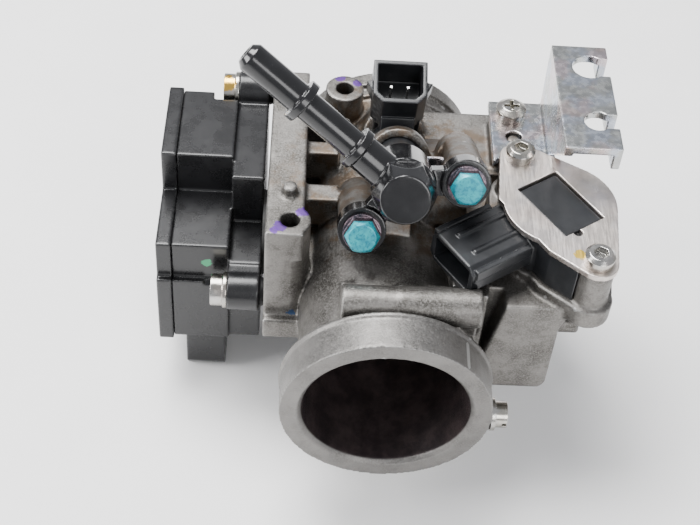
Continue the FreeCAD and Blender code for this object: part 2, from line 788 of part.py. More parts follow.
def sensor_screws():
    """The two screws of the sensor unit, with their washer faces."""
    screws = []
    for name in ("a", "b"):
        at_y = f"sensor_screw_{name}_y"
        at_z = f"sensor_screw_{name}_z"
        head = join(rod(4.4, 3.3, ("sensor_box_right - 4.5", at_y, at_z), "x"),
                    rod(5, 1.2, ("sensor_box_right - 1.2", at_y, at_z), "x"))
        shank = rod(2, "wall_left - sensor_box_right + 0.1", ("sensor_box_right - 0.1", at_y, at_z), "x")
        tip = rod(1.6, 8.8, ("wall_left - 1.8", at_y, at_z), "x")
        cross = [block(("sensor_box_right - 5", f"{at_y} - 2.2", f"{at_z} - 0.4"),
                       ("sensor_box_right - 3", f"{at_y} + 2.2", f"{at_z} + 0.4")),
                 block(("sensor_box_right - 5", f"{at_y} - 0.4", f"{at_z} - 2.2"),
                       ("sensor_box_right - 3", f"{at_y} + 0.4", f"{at_z} + 2.2"))]
        screws.append(cut(join(head, shank, tip), *cross))
    subpart("sensor_screws", group(*screws))


def sensor_seal():
    """The soft ring between the sensor unit and the wall, round the shaft."""
    band = cut(rod(12, "wall_left - sensor_flange_right", ("sensor_flange_right", "shaft_y", 0), "x"),
               rod(10, 4, ("sensor_flange_right - 1", "shaft_y", 0), "x"))
    subpart("sensor_seal_ring", band)


def injector_body():
    """The metal core of the injector, from its nozzle to its fuel inlet."""
    core = join(rod("injector_core_radius", "injector_length", ORIGIN),
                taper("injector_core_radius - 1", "injector_core_radius", 1.2, (0, 0, -1.2)))
    grooves = []
    for level in (3.4, "injector_length - 5"):
        disc = rod("injector_core_radius + 1", 2.4, (0, 0, level))
        grooves.append(cut(disc, rod("injector_core_radius - 0.8", 4, (0, 0, f"{level} - 0.5"))))
    nozzle = rod(1.1, 2, (0, 0, -1.4))
    return subpart("injector_body", in_frame(cut(core, nozzle, *grooves), INJECTOR_FRAME))


def injector_seals():
    """The two rubber rings in the injector's grooves."""
    low = cut(rod("socket_radius - 0.05", 2.2, (0, 0, 3.5)),
              rod("injector_core_radius - 0.75", 4, (0, 0, 3)))
    high = cut(rod("injector_core_radius + 0.55", 2.2, (0, 0, "injector_length - 4.9")),
               rod("injector_core_radius - 0.75", 4, (0, 0, "injector_length - 6")))
    subpart("injector_seal_rings", in_frame(group(low, high), INJECTOR_FRAME))


def injector_connector():
    """The injector's black overmould, which carries the two-blade socket."""
    wrapped = in_frame(join(rod("overmold_radius", "overmold_end - overmold_start",
                                (0, 0, "overmold_start")),
                            rod("overmold_radius + 0.8", 2.6, (0, 0, 25)),
                            block((-4.6, 0, 11), (4.6, 9, 22))), INJECTOR_FRAME)
    bore = in_frame(group(rod("injector_core_radius", 60, (0, 0, -2))), INJECTOR_FRAME)
    half = "plug_width / 2"
    deep = "plug_depth / 2"
    shell = outline([(f"-{half}", f"{deep}"), (f"-{half}", f"2.6 - {deep}"),
                     (f"2.6 - {half}", f"-{deep}"), (f"{half} - 2.6", f"-{deep}"),
                     (half, f"2.6 - {deep}"), (half, deep)], "plug_length", ORIGIN, "z")
    cavity = outline([(f"plug_wall - {half}", f"{deep} - plug_wall"),
                      (f"plug_wall - {half}", f"3.3 - {deep}"),
                      (f"3.3 - {half}", f"plug_wall - {deep}"),
                      (f"{half} - 3.3", f"plug_wall - {deep}"),
                      (f"{half} - plug_wall", f"3.3 - {deep}"),
                      (f"{half} - plug_wall", f"{deep} - plug_wall")],
                     "plug_cavity + 1", (0, 0, "plug_length - plug_cavity"), "z")
    catches = [outline([(f"{side} * {half}", 1), (f"{side} * ({half} + 1.7)", 1),
                        (f"{side} * {half}", -2.5)], 5, (0, 0, "plug_length - 7"), "z")
               for side in (-1, 1)]
    neck = block((-6.4, -5.5, -6), (6.4, 5.5, 1))
    plug = in_frame(cut(join(shell, *catches, neck), cavity), PLUG_FRAME)
    return subpart("injector_connector", cut(join(wrapped, plug), bore))


def injector_blades():
    """The two square contact pins in the injector's socket."""
    level = "plug_length - plug_cavity"
    blades = [block((f"{side} * 2.3 - 0.32", -0.32, level),
                    (f"{side} * 2.3 + 0.32", 0.32, f"{level} + 6.4"))
              for side in (-1, 1)]
    subpart("injector_socket_blades", in_frame(group(*blades), PLUG_FRAME))


def injector_clip():
    """The sheet-metal retainer between the injector and the fuel joint."""
    plate = join(rod("overmold_radius + 1.2", 1, (0, 0, "overmold_end + 0.2")),
                 block((0, -2.5, "overmold_end + 0.2"), (11, 4.5, "overmold_end + 1.2")),
                 block((10, -2.5, "overmold_end + 0.2"), (11, 4.5, "overmold_end + 2.5")))
    hole = rod("injector_core_radius + 0.05", 8, (0, 0, "overmold_end - 2"))
    subpart("injector_retainer", in_frame(cut(plate, hole), INJECTOR_FRAME))


def fuel_joint():
    """The black fuel joint: cup, faceted cap, two bolt ears and the beaded hose stem."""
    cup = rod("joint_radius", "joint_rim - joint_start", (0, 0, "joint_start"))
    cap = overlap(hexagon(14.5, "joint_top - joint_rim + 1", (0, 0, "joint_rim - 1")),
                  taper("joint_radius + 1.6", "joint_radius - 2", "joint_top - joint_rim + 1",
                        (0, 0, "joint_rim - 1")))
    necks = [outline([(f"-({across})", f"-({along})"), (across, along),
                      (f"ear_{side}_x + {across}", f"ear_{side}_w + {along}"),
                      (f"ear_{side}_x - {across}", f"ear_{side}_w - {along}")],
                     "ear_top - ear_bottom - 1.5", (0, 0, "ear_bottom"), "z")
             for side, across, along in (("left", -2.7, 2.1), ("right", 0.25, -3.4))]
    ears = [rod("ear_radius", "ear_top - ear_bottom", (f"ear_{side}_x", f"ear_{side}_w", "ear_bottom"))
            for side in ("left", "right")]
    stem = fuel_stem()
    holes = [rod(3.2, "ear_top - ear_bottom + 2", (f"ear_{side}_x", f"ear_{side}_w", "ear_bottom - 1"))
             for side in ("left", "right")]
    inlet = rod("injector_core_radius + 0.6", "injector_length - joint_start + 1.2",
                (0, 0, "joint_start - 0.5"))
    solid = cut(join(join(join(cup, cap), join(*necks, *ears)), stem), *holes, inlet, fuel_way())
    return subpart("fuel_joint", in_frame(solid, INJECTOR_FRAME))


def stem_frame(item):
    """Turn a shape built along x to the stem's direction, at the stem's level."""
    item.Placement.Rotation = FreeCAD.Rotation(AXES["z"], 10)
    item.setExpression("Placement.Rotation.Angle", formula("stem_angle"))
    place(item, (0, 0, "stem_level + 2.4"))
    return item


def fuel_stem():
    """The hose stem with its two beads, leaving the cup to the left."""
    thick = rod("stem_radius + 0.8", "bead_near - 1.7", (1.7, 0, 0), "x")
    tube = rod("stem_radius - 0.15", "bead_far - bead_near", ("bead_near", 0, 0), "x")
    end = rod("stem_radius", "stem_length - bead_far - 1.6", ("bead_far", 0, 0), "x")
    nose = taper("stem_radius", "stem_radius - 1.3", 1.6, ("stem_length - 1.6", 0, 0), "x")
    beads = [rod("bead_radius", "bead_width", (f"{name} - bead_width / 2", 0, 0), "x")
             for name in ("bead_near", "bead_far")]
    return stem_frame(join(thick, tube, end, nose, *beads))


def fuel_way():
    """The drilling down the stem to the injector's inlet."""
    down = rod(2.2, 6, (0, 0, "injector_length - 1"))
    return join(down, stem_frame(group(rod(1.7, "stem_length + 3", ORIGIN, "x"))))


def fuel_joint_bolts():
    """The two flanged bolts through the fuel joint's ears."""
    bolts = []
    for side in ("left", "right"):
        at = (f"ear_{side}_x", f"ear_{side}_w")
        washer = rod(5, 1.3, (*at, "ear_top"))
        head = overlap(hexagon(8, 5.6, (*at, "ear_top")),
                       taper(7.4, 3.5, 5.6, (*at, "ear_top")))
        shank = rod(3, "ear_top - ear_bottom + 0.1", (*at, "ear_bottom"))
        tip = rod("post_thread_radius", 13, (*at, "ear_bottom - 12.9"))
        bolts.append(join(washer, head, shank, tip))
    subpart("fuel_joint_bolts", in_frame(group(*bolts), INJECTOR_FRAME))


def idle_valve_body():
    """The black moulding of the idle air valve, with its four-blade socket."""
    body = valve_outline(-0.7, "valve_face", "valve_cover_bottom")
    low = "socket4_middle - socket4_width / 2"
    high = "socket4_middle + socket4_width / 2"
    shell = outline([(low, "socket4_bottom + 2"), (f"{low} + 2", "socket4_bottom"),
                     (f"{high} - 2", "socket4_bottom"), (high, "socket4_bottom + 2"),
                     (high, "socket4_top - 2"), (f"{high} - 2", "socket4_top"),
                     (f"{low} + 2", "socket4_top"), (low, "socket4_top - 2")],
                    "-socket4_left - 4", ("socket4_left", 0, 0), "x")
    ribs = [block(("socket4_left + 4", f"{middle} - 0.6", "socket4_top - 0.5"),
                  (-13, f"{middle} + 0.6", "socket4_top + 0.6")) for middle in ("socket4_middle - 3.3",
                                                                         "socket4_middle + 3.3")]
    lugs = [block(("socket4_left + 1", f"{edge} - 0.7", "socket4_top - 4"),
                  (-14, f"{edge} + 0.7", "socket4_top - 0.6")) for edge in (low, high)]
    cavity = block(("socket4_left - 1", f"{low} + 1.6", "socket4_bottom + 1.5"),
                   ("socket4_left + 11", f"{high} - 1.6", "socket4_top - 1.5"))
    island = block(("0.35 - window_width / 2", "0.35 - window_length / 2", "valve_cover_bottom - 1"),
                   ("window_width / 2 - 0.35", "window_length / 2 - 0.35", "valve_cover_bottom + 0.8"))
    inside = rod("slide_radius - 0.7", 9, ("slide_x", "slide_y", "valve_face - 1"))
    pillar_room = [rod("valve_ear_radius - 0.2", 16,
                       (f"valve_ear_{name}_x", f"valve_ear_{name}_y", "valve_face - 2"))
                   for name in ("a", "b")]
    solid = cut(join(*body, shell, *ribs, *lugs, island), cavity, inside, *pillar_room)
    return subpart("idle_valve_body", in_frame(solid, VALVE_FRAME))


def idle_valve_cover():
    """The steel cover plate with its window."""
    plate = join(*valve_outline(0, "valve_cover_bottom", "valve_cover_top"))
    window = block(("-window_width / 2", "-window_length / 2", "valve_cover_bottom - 1"),
                   ("window_width / 2", "window_length / 2", "valve_cover_top + 1"))
    notch = rod(1.2, 4, ("0.6 - window_width / 2 + 3", "-window_length / 2 - 0.6",
                         "valve_cover_bottom - 1"))
    holes = [rod(2.15, 6, (f"valve_ear_{name}_x", f"valve_ear_{name}_y", "valve_cover_bottom - 2"))
             for name in ("a", "b")]
    return subpart("idle_valve_cover", in_frame(cut(plate, window, notch, *holes), VALVE_FRAME))


def idle_valve_screws():
    """The two pan-head screws of the idle air valve."""
    screws = []
    for name in ("a", "b"):
        at = (f"valve_ear_{name}_x", f"valve_ear_{name}_y")
        head = join(rod(3.9, 2.6, (*at, "valve_cover_top")),
                    taper(3.9, 2.9, 0.9, (*at, "valve_cover_top + 2.6")))
        drive = hexagon(3.4, 2, (*at, "valve_cover_top + 1.7"))
        shank = rod(2, "valve_cover_top - valve_face + 0.1", (*at, "valve_face"))
        tip = rod(1.6, 9, (*at, "valve_face - 8.9"))
        screws.append(cut(join(head, shank, tip), drive))
    subpart("idle_valve_screws", in_frame(group(*screws), VALVE_FRAME))


def idle_valve_blades():
    """The four contact blades in the idle air valve's socket."""
    blades = []
    for index in range(4):
        middle = f"socket4_middle + {(index - 1.5) * 3.1}"
        blades.append(block(("socket4_left + 4.5", f"{middle} - 0.5", 28.2),
                            ("socket4_left + 11", f"{middle} + 0.5", 29)))
    subpart("idle_valve_socket_blades", in_frame(group(*blades), VALVE_FRAME))


def idle_valve_slide():
    """The valve's sliding plug, shown closed at the top of its travel."""
    at = ("slide_x", "slide_y")
    plug = join(rod("slide_radius", "slide_length", (*at, "valve_face - slide_length - 0.2")),
                rod(2.6, 8, (*at, "valve_face - 0.3")))
    port = block(("slide_x - 2", "slide_y - 6", "valve_face - slide_length - 1"),
                 ("slide_x + 2", "slide_y", "valve_face - slide_length + 4"))
    return subpart("idle_valve_slide", in_frame(cut(plug, port), VALVE_FRAME))


def cable_bracket():
    """The zinc-plated steel bracket: base, upright web, top plate and turned-down edge."""
    low = "bracket_base_z"
    gauge = "bracket_gauge"
    base = block(("bracket_left", "bracket_base_front", low),
                 (f"bracket_web + {gauge}", "bracket_base_back", f"{low} + {gauge}"))
    web = outline([("bracket_base_back", low), (70, low), ("bracket_front", 47),
                   ("bracket_front", "bracket_top_z"), ("bracket_back", "bracket_top_z"),
                   ("bracket_back", 44)], gauge, ("bracket_web", 0, 0), "x")
    top = block(("bracket_web", "bracket_front", f"bracket_top_z - {gauge}"),
                ("bracket_right", "bracket_back", "bracket_top_z"))
    edge = block((f"bracket_right - {gauge}", "bracket_front", "bracket_top_z - 7"),
                 ("bracket_right", "bracket_back", "bracket_top_z"))
    ear = rod("valve_ear_radius + 1.9", 10, (33.4, 59.9, "bracket_base_z - 2"))
    screw_hole = rod(2.3, 6, ("bracket_screw_x", "bracket_screw_y", f"{low} - 1"))
    peg_hole = rod(2.2, 6, (33.8, 74.2, f"{low} - 1"))
    slots = []
    for name, throat in (("a", 3.6), ("b", 2.6)):
        at_y = f"cable_slot_{name}_y"
        radius = f"cable_slot_{name}_radius"
        slots.append(rod(radius, 6, ("cable_slot_x", at_y, "bracket_top_z - 4")))
        slots.append(block(("cable_slot_x", f"{at_y} - {throat}", "bracket_top_z - 12"),
                           ("bracket_right + 1", f"{at_y} + {throat}", "bracket_top_z + 1")))
    solid = cut(join(base, web, top, edge), ear, screw_hole, peg_hole, *slots)
    return subpart("cable_bracket", solid)


def small_screws():
    """The bracket's cross-recess screw and the washer-faced screw low beside the inlet."""
    at = ("bracket_screw_x", "bracket_screw_y")
    top = "bracket_base_z + bracket_gauge"
    head = join(rod(4.2, 2.6, (*at, top)), taper(4.2, 2.6, 1.1, (*at, f"{top} + 2.6")))
    cross = [block((f"{at[0]} - {half_x}", f"{at[1]} - {half_y}", f"{top} + 1.8"),
                   (f"{at[0]} + {half_x}", f"{at[1]} + {half_y}", f"{top} + 5"))
             for half_x, half_y in ((2.1, 0.45), (0.45, 2.1))]
    shank = rod(2, 11, (*at, "bracket_base_z - 8.6"))
    subpart("cable_bracket_screw", cut(join(head, shank), *cross))
    side = ("drain_y", "drain_z")
    plug = join(rod(4.6, 1.2, ("drain_boss_end", *side), "x"),
                rod(3.7, 3.4, ("drain_boss_end + 1.2", *side), "x"),
                rod(2.4, 8, ("drain_boss_end - 7.5", *side), "x"))
    slot = block(("drain_boss_end + 3.2", "drain_y - 5", "drain_z - 0.5"),
                 ("drain_boss_end + 6", "drain_y + 5", "drain_z + 0.5"))
    subpart("side_plug_screw", cut(plug, slot))


def build():
    """Make every piece, check it and write its file."""
    throttle_housing()
    engine_seal()
    shaft_bushes()
    shaft_seals()
    throttle_shaft()
    throttle_plate()
    throttle_plate_screws()
    throttle_drum()
    drum_fasteners()
    return_spring()
    stop_screw()
    sensor_housing()
    sensor_cap()
    sensor_insides()
    sensor_screws()
    sensor_seal()
    injector_body()
    injector_seals()
    injector_connector()
    injector_blades()
    injector_clip()
    fuel_joint()
    fuel_joint_bolts()
    idle_valve_body()
    idle_valve_cover()
    idle_valve_screws()
    idle_valve_blades()
    idle_valve_slide()
    cable_bracket()
    small_screws()
    document.recompute()
    failed = [item.Label for item in document.Objects
              if "Invalid" in item.State or "Error" in item.State]
    failed += [item.Label for item in subparts
               if item.Shape.isNull() or not item.Shape.isValid()]
    if failed:
        raise SystemExit("failed: " + ", ".join(failed))
    os.makedirs("parts", exist_ok=True)
    for item in subparts:
        item.Shape.exportStep(f"parts/{item.Label}.step")
        print(item.Label, len(item.Shape.Solids), round(item.Shape.Volume, 1))


build()
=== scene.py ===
import bpy
import bmesh
import math
import numpy as np
from mathutils import Matrix, Vector


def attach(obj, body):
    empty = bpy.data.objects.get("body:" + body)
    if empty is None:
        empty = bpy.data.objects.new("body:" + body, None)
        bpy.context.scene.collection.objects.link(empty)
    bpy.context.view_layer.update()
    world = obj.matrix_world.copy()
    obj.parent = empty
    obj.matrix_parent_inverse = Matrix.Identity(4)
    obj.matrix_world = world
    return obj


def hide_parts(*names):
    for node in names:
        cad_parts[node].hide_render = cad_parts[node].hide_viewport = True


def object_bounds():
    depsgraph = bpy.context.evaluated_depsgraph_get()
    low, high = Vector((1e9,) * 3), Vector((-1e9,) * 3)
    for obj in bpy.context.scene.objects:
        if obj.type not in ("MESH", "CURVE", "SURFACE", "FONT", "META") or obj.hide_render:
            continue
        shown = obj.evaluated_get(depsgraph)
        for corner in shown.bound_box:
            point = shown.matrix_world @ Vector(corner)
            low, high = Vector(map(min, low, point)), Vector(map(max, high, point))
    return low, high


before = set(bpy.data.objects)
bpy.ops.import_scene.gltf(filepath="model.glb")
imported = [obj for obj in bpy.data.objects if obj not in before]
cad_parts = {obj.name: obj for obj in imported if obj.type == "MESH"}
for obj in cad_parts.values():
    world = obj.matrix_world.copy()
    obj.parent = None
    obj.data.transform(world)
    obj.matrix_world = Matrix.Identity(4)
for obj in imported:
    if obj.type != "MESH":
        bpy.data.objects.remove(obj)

CAD_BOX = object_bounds()
MM = 0.001

# The injector's nozzle tip and lean, as the CAD model sets them.
INJECTOR_TIP = Vector((1.3, 88.7, 17)) * MM
INJECTOR_TURN = Matrix.Rotation(math.radians(62), 3, "X")


# ---------------------------------------------------------------- mesh helpers

def injector_point(x, y, z):
    """A place given in the injector's own axes, in millimetres."""
    return INJECTOR_TIP + INJECTOR_TURN @ (Vector((x, y, z)) * MM)


def new_piece(name, mesh):
    """Put a mesh into the scene as an object."""
    piece = bpy.data.objects.new(name, mesh)
    bpy.context.scene.collection.objects.link(piece)
    return piece


def fix_modifiers(piece):
    """Make what the modifiers do part of the mesh."""
    graph = bpy.context.evaluated_depsgraph_get()
    mesh = bpy.data.meshes.new_from_object(piece.evaluated_get(graph))
    piece.modifiers.clear()
    piece.data = mesh


def soften(node, voxel, passes, weigh=None, name=None):
    """A copy of a CAD node as one even skin whose edges are rounded like a moulding's.

    weigh gives how much each point is rounded, from 0 on a machined face to 1.
    """
    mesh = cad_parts[node].data.copy()
    mesh.materials.clear()
    form = bmesh.new()
    form.from_mesh(mesh)
    bmesh.ops.remove_doubles(form, verts=form.verts, dist=1e-6)
    bmesh.ops.recalc_face_normals(form, faces=form.faces)
    form.to_mesh(mesh)
    form.free()
    piece = new_piece(name or node + "_skin", mesh)
    skin = piece.modifiers.new("skin", "REMESH")
    skin.mode = "VOXEL"
    skin.voxel_size = voxel * MM
    skin.use_smooth_shade = True
    fix_modifiers(piece)
    rounding = piece.modifiers.new("rounding", "SMOOTH")
    rounding.factor = 0.5
    rounding.iterations = passes
    if weigh:
        points = np.empty(len(piece.data.vertices) * 3)
        piece.data.vertices.foreach_get("co", points)
        weights = weigh(points.reshape(-1, 3) / MM)
        cast = piece.vertex_groups.new(name="cast")
        for level in np.unique(weights):
            cast.add(np.nonzero(weights == level)[0].tolist(), float(level), "REPLACE")
        rounding.vertex_group = "cast"
    fix_modifiers(piece)
    return piece


def dress(piece, material, body, slot, *nodes):
    """Give a piece its material and its body, and hide the CAD nodes that it stands for."""
    piece.data.materials.clear()
    piece.data.materials.append(material)
    for face in piece.data.polygons:
        face.use_smooth = True
    if nodes:
        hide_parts(*nodes)
    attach(piece, body)
    return piece


# ---------------------------------------------------------------- material helpers

COAT_ROUGHNESS = 0.12


class Shade:
    """A material's node tree, with short ways to add to it."""

    def __init__(self, name, roughness, metallic=0.0, coat=0.0):
        self.material = bpy.data.materials.new(name)
        self.material.use_nodes = True
        self.tree = self.material.node_tree
        self.surface = self.tree.nodes["Principled BSDF"]
        self.surface.inputs["Roughness"].default_value = roughness
        self.surface.inputs["Metallic"].default_value = metallic
        self.surface.inputs["Coat Weight"].default_value = coat
        self.surface.inputs["Coat Roughness"].default_value = COAT_ROUGHNESS
        self.place = self.add("ShaderNodeTexCoord").outputs["Object"]
        self.normal = None

    def add(self, kind, **settings):
        """Add a node and set its properties."""
        node = self.tree.nodes.new(kind)
        for key, value in settings.items():
            setattr(node, key, value)
        return node

    def feed(self, node, **values):
        """Link an output to a node's input, or set the input to a value.

        A key is the input's name, or i and its number.
        """
        for key, value in values.items():
            numbered = key[0] == "i" and key[1:].isdigit()
            socket = node.inputs[int(key[1:]) if numbered else key]
            if isinstance(value, bpy.types.NodeSocket):
                self.tree.links.new(value, socket)
            else:
                socket.default_value = value

    def noise(self, size, detail=4.0, roughness=0.6, stretch=(1, 1, 1)):
        """Fractal noise whose features are about size millimetres across."""
        mapping = self.add("ShaderNodeMapping")
        self.feed(mapping, Vector=self.place, Scale=Vector(stretch))
        node = self.add("ShaderNodeTexNoise")
        self.feed(node, Vector=mapping.outputs[0], Scale=1 / (size * MM), Detail=detail,
                  Roughness=roughness)
        return node.outputs[0]

    def cells(self, size):
        """Cell noise: the distance to scattered points about size millimetres apart."""
        node = self.add("ShaderNodeTexVoronoi")
        self.feed(node, Vector=self.place, Scale=1 / (size * MM))
        return node.outputs[0]

    def band(self, value, low, high, out_low=0.0, out_high=1.0):
        """Spread the part of a value between low and high over another range."""
        node = self.add("ShaderNodeMapRange", interpolation_type="SMOOTHSTEP")
        self.feed(node, Value=value)
        for index, number in enumerate((low, high, out_low, out_high)):
            node.inputs[index + 1].default_value = number
        return node.outputs[0]

    def step(self, distance, place, out_low=0.0, out_high=1.0):
        """A change over the part of a distance in metres between two places in millimetres."""
        return self.band(distance, place[0] * MM, place[1] * MM, out_low, out_high)

    def math(self, kind, a, b=0.0):
        """One arithmetic step."""
        node = self.add("ShaderNodeMath", operation=kind)
        self.feed(node, i0=a, i1=b)
        return node.outputs[0]

    def mix(self, factor, a, b):
        """Mix two colours."""
        node = self.add("ShaderNodeMix", data_type="RGBA")
        for index, value in ((0, factor), (6, a), (7, b)):
            if isinstance(value, bpy.types.NodeSocket):
                self.tree.links.new(value, node.inputs[index])
            elif index == 0:
                node.inputs[0].default_value = value
            else:
                node.inputs[index].default_value = (*value, 1)
        return node.outputs[2]

    def near(self, point, radius, ragged=0.35):
        """A mask that is 1 within radius millimetres of a point in metres, with an uneven edge."""
        shift = self.add("ShaderNodeVectorMath", operation="DISTANCE")
        self.feed(shift, i0=self.place, i1=Vector(point))
        wobble = self.math("MULTIPLY", self.math("SUBTRACT", self.noise(radius * 0.9), 0.5),
                           radius * MM * ragged * 2)
        away = self.math("ADD", shift.outputs["Value"], wobble)
        return self.band(away, radius * MM * 0.85, radius * MM, 1.0, 0.0)

    def bore(self):
        """Distance from the bore's axis, and distance along it from the inlet face, in metres."""
        node = self.add("ShaderNodeSeparateXYZ")
        self.feed(node, i0=self.place)
        across, down, up = node.outputs
        squares = self.math("ADD", self.math("POWER", across, 2.0), self.math("POWER", up, 2.0))
        return self.math("SQRT", squares), down

    def along(self, point, direction):
        """Distance in metres from a point along a direction."""
        shift = self.add("ShaderNodeVectorMath", operation="SUBTRACT")
        self.feed(shift, i0=self.place, i1=Vector(point))
        dot = self.add("ShaderNodeVectorMath", operation="DOT_PRODUCT")
        self.feed(dot, i0=shift.outputs[0], i1=Vector(direction))
        return dot.outputs["Value"]

    def marks(self, color, spots):
        """Dab paint on a colour: spots are (place in mm, radius in mm, paint) rows."""
        for spot, radius, paint in spots:
            dab = self.math("MULTIPLY", self.near(Vector(spot) * MM, radius, 0.8), 0.85)
            color = self.mix(dab, color, paint)
        return color

    def edges(self, low=0.52, high=0.6):
        """A mask of the convex edges, where a surface wears."""
        return self.band(self.add("ShaderNodeNewGeometry").outputs["Pointiness"], low, high)

    def hollows(self, low=0.4, high=0.49):
        """A mask of the inside corners, where the materials paint shade."""
        return self.band(self.add("ShaderNodeNewGeometry").outputs["Pointiness"], low, high, 1.0, 0.0)

    def bump(self, height, depth, strength=1.0):
        """Raise the surface by a height pattern, depth in millimetres."""
        node = self.add("ShaderNodeBump")
        self.feed(node, Height=height, Strength=strength, Distance=depth * MM)
        if self.normal:
            self.feed(node, Normal=self.normal)
        self.normal = node.outputs[0]
        self.feed(self.surface, Normal=self.normal)

    def finish(self, color, roughness=None, metallic=None):
        """Link the finished colour, roughness and metal mask."""
        self.tree.links.new(color, self.surface.inputs["Base Color"])
        if roughness is not None:
            self.tree.links.new(roughness, self.surface.inputs["Roughness"])
        if metallic is not None:
            self.tree.links.new(metallic, self.surface.inputs["Metallic"])
        return self.material


# ---------------------------------------------------------------- materials

PURPLE = (0.1, 0.035, 0.24)
BLUE = (0.04, 0.09, 0.2)

# The assembly line's marks: place in mm, radius in mm and paint.
PEN_STROKES = (
    ((-28.9, 36, 30), 1.9, PURPLE),
    ((-30.6, 34.6, 30), 1.3, PURPLE),
    ((-23.4, 41.4, 30), 1.8, PURPLE),
    ((-14.5, 95.2, 30), 1.6, PURPLE),
    ((-9.4, 93.4, 30), 1.5, PURPLE),
    ((-22.6, 35.5, -1), 2.2, BLUE),
    ((-25.5, 34, -1), 1.6, BLUE),
    ((21.1, 43, 50), 3, (0.3, 0.02, 0.12)),
)
GREEN_DOT = (((-49, 46, 3.4), 1.5, (0.02, 0.33, 0.14)),)
YELLOW_DOTS = (
    ((46.3, 25.1, 36), 1.7, (0.75, 0.5, 0.02)),
    ((-46.5, 95, 26), 2.6, (0.75, 0.45, 0.05)),
)

# Where a shading change falls, in millimetres: the end of the turned ring along the bore,
# the radius and the depth from which the bore is painted near-black as shade, and the height of the
# bolts' paint.
TURNED_END = (11.6, 12.2)
BORE_SHADE_RADIUS = (22.1, 21.7)
BORE_SHADE_DEPTH = (0.8, 1.4)
BOLT_PAINT_HEIGHT = (60.2, 60.7)


def cast_alloy():
    """Sand-grained cast aluminium with turned ring, brown stains, paint strokes, and painted shade in
    its inside corners and its bore.
    """
    shade = Shade("cast_alloy", 0.5, 0.9)
    grain = shade.noise(0.5, 6, 0.7)
    patches = shade.noise(9, 5, 0.65)
    color = shade.mix(shade.band(patches, 0.32, 0.68), (0.075, 0.07, 0.063), (0.2, 0.19, 0.178))
    color = shade.mix(shade.band(grain, 0.4, 0.75), color, (0.28, 0.27, 0.255))
    streaks = shade.noise(2.4, 5, 0.7, (1, 0.3, 1))
    color = shade.mix(shade.band(streaks, 0.52, 0.72, 0.0, 0.55), color, (0.08, 0.072, 0.065))
    radius, down = shade.bore()
    ring = shade.math("MULTIPLY", shade.step(down, TURNED_END, 1.0, 0.0),
                      shade.band(shade.noise(3, 5, 0.7, (1, 6, 1)), 0.3, 0.65, 0.45, 1.0))
    color = shade.mix(shade.math("MULTIPLY", ring, 0.6), color, (0.18, 0.175, 0.17))
    stain = shade.near(injector_point(2, -4, 30), 34, 0.8)
    stain = shade.math("MULTIPLY", stain, shade.band(shade.noise(5, 5, 0.7), 0.4, 0.6))
    color = shade.mix(shade.math("MULTIPLY", stain, 0.7), color, (0.13, 0.085, 0.05))
    # Painted shade: the inside corners are darkened towards near-black, broken up by noise.
    hollow_shade = shade.math("MULTIPLY", shade.hollows(), shade.band(shade.noise(3), 0.3, 0.6))
    color = shade.mix(shade.math("MULTIPLY", hollow_shade, 0.85), color, (0.03, 0.025, 0.02))
    color = shade.mix(shade.math("MULTIPLY", shade.edges(), 0.6), color, (0.55, 0.55, 0.54))
    color = shade.marks(color, PEN_STROKES)
    # Painted shade: the bore is painted near-black from just inside the inlet face, with less metal
    # shine.
    bore_shade = shade.math("MULTIPLY", shade.step(radius, BORE_SHADE_RADIUS), shade.step(down, BORE_SHADE_DEPTH))
    bore_shade_color = shade.mix(shade.band(shade.noise(6, 5, 0.65), 0.35, 0.7),
                     (0.018, 0.013, 0.014), (0.05, 0.036, 0.036))
    color = shade.mix(bore_shade, color, bore_shade_color)
    rough = shade.band(grain, 0.3, 0.7, 0.34, 0.58)
    shade.bump(grain, 0.06, 0.7)
    shade.bump(shade.noise(0.16, 3, 0.7), 0.03, 0.5)
    shade.bump(shade.noise(2.2, 3, 0.5), 0.14, 0.5)
    return shade.finish(color, rough, shade.band(bore_shade, 0.0, 1.0, 0.9, 0.35))


def black_plastic(name, tone, roughness, wear, coat=0.0, dust=0.25, spots=()):
    """Black moulded plastic: fine grain, scuffed bright edges and a little dust."""
    shade = Shade(name, roughness, 0.0, coat)
    shade.feed(shade.surface, **{"Specular IOR Level": 0.42})
    grain = shade.noise(0.25, 4, 0.7)
    cloud = shade.noise(6, 5, 0.65)
    dark = tuple(v * 0.6 for v in tone)
    color = shade.mix(shade.band(cloud, 0.3, 0.7), dark, tone)
    scuffs = shade.math("MULTIPLY", shade.edges(0.51, 0.6),
                        shade.band(shade.noise(1.5, 5, 0.7), 0.4, 0.65))
    color = shade.mix(shade.math("MULTIPLY", scuffs, wear), color, (0.16, 0.16, 0.16))
    specks = shade.band(shade.cells(1.1), 0.0, 0.09, 1.0, 0.0)
    specks = shade.math("MULTIPLY", specks, shade.band(shade.noise(4), 0.5, 0.62))
    color = shade.mix(shade.math("MULTIPLY", specks, dust), color, (0.35, 0.34, 0.32))
    color = shade.marks(color, spots)
    rough = shade.band(cloud, 0.3, 0.75, roughness - 0.02, roughness + 0.05)
    shade.bump(grain, 0.02, 0.35)
    shade.bump(shade.noise(3.5, 3, 0.5), 0.05, 0.35)
    return shade.finish(color, rough)


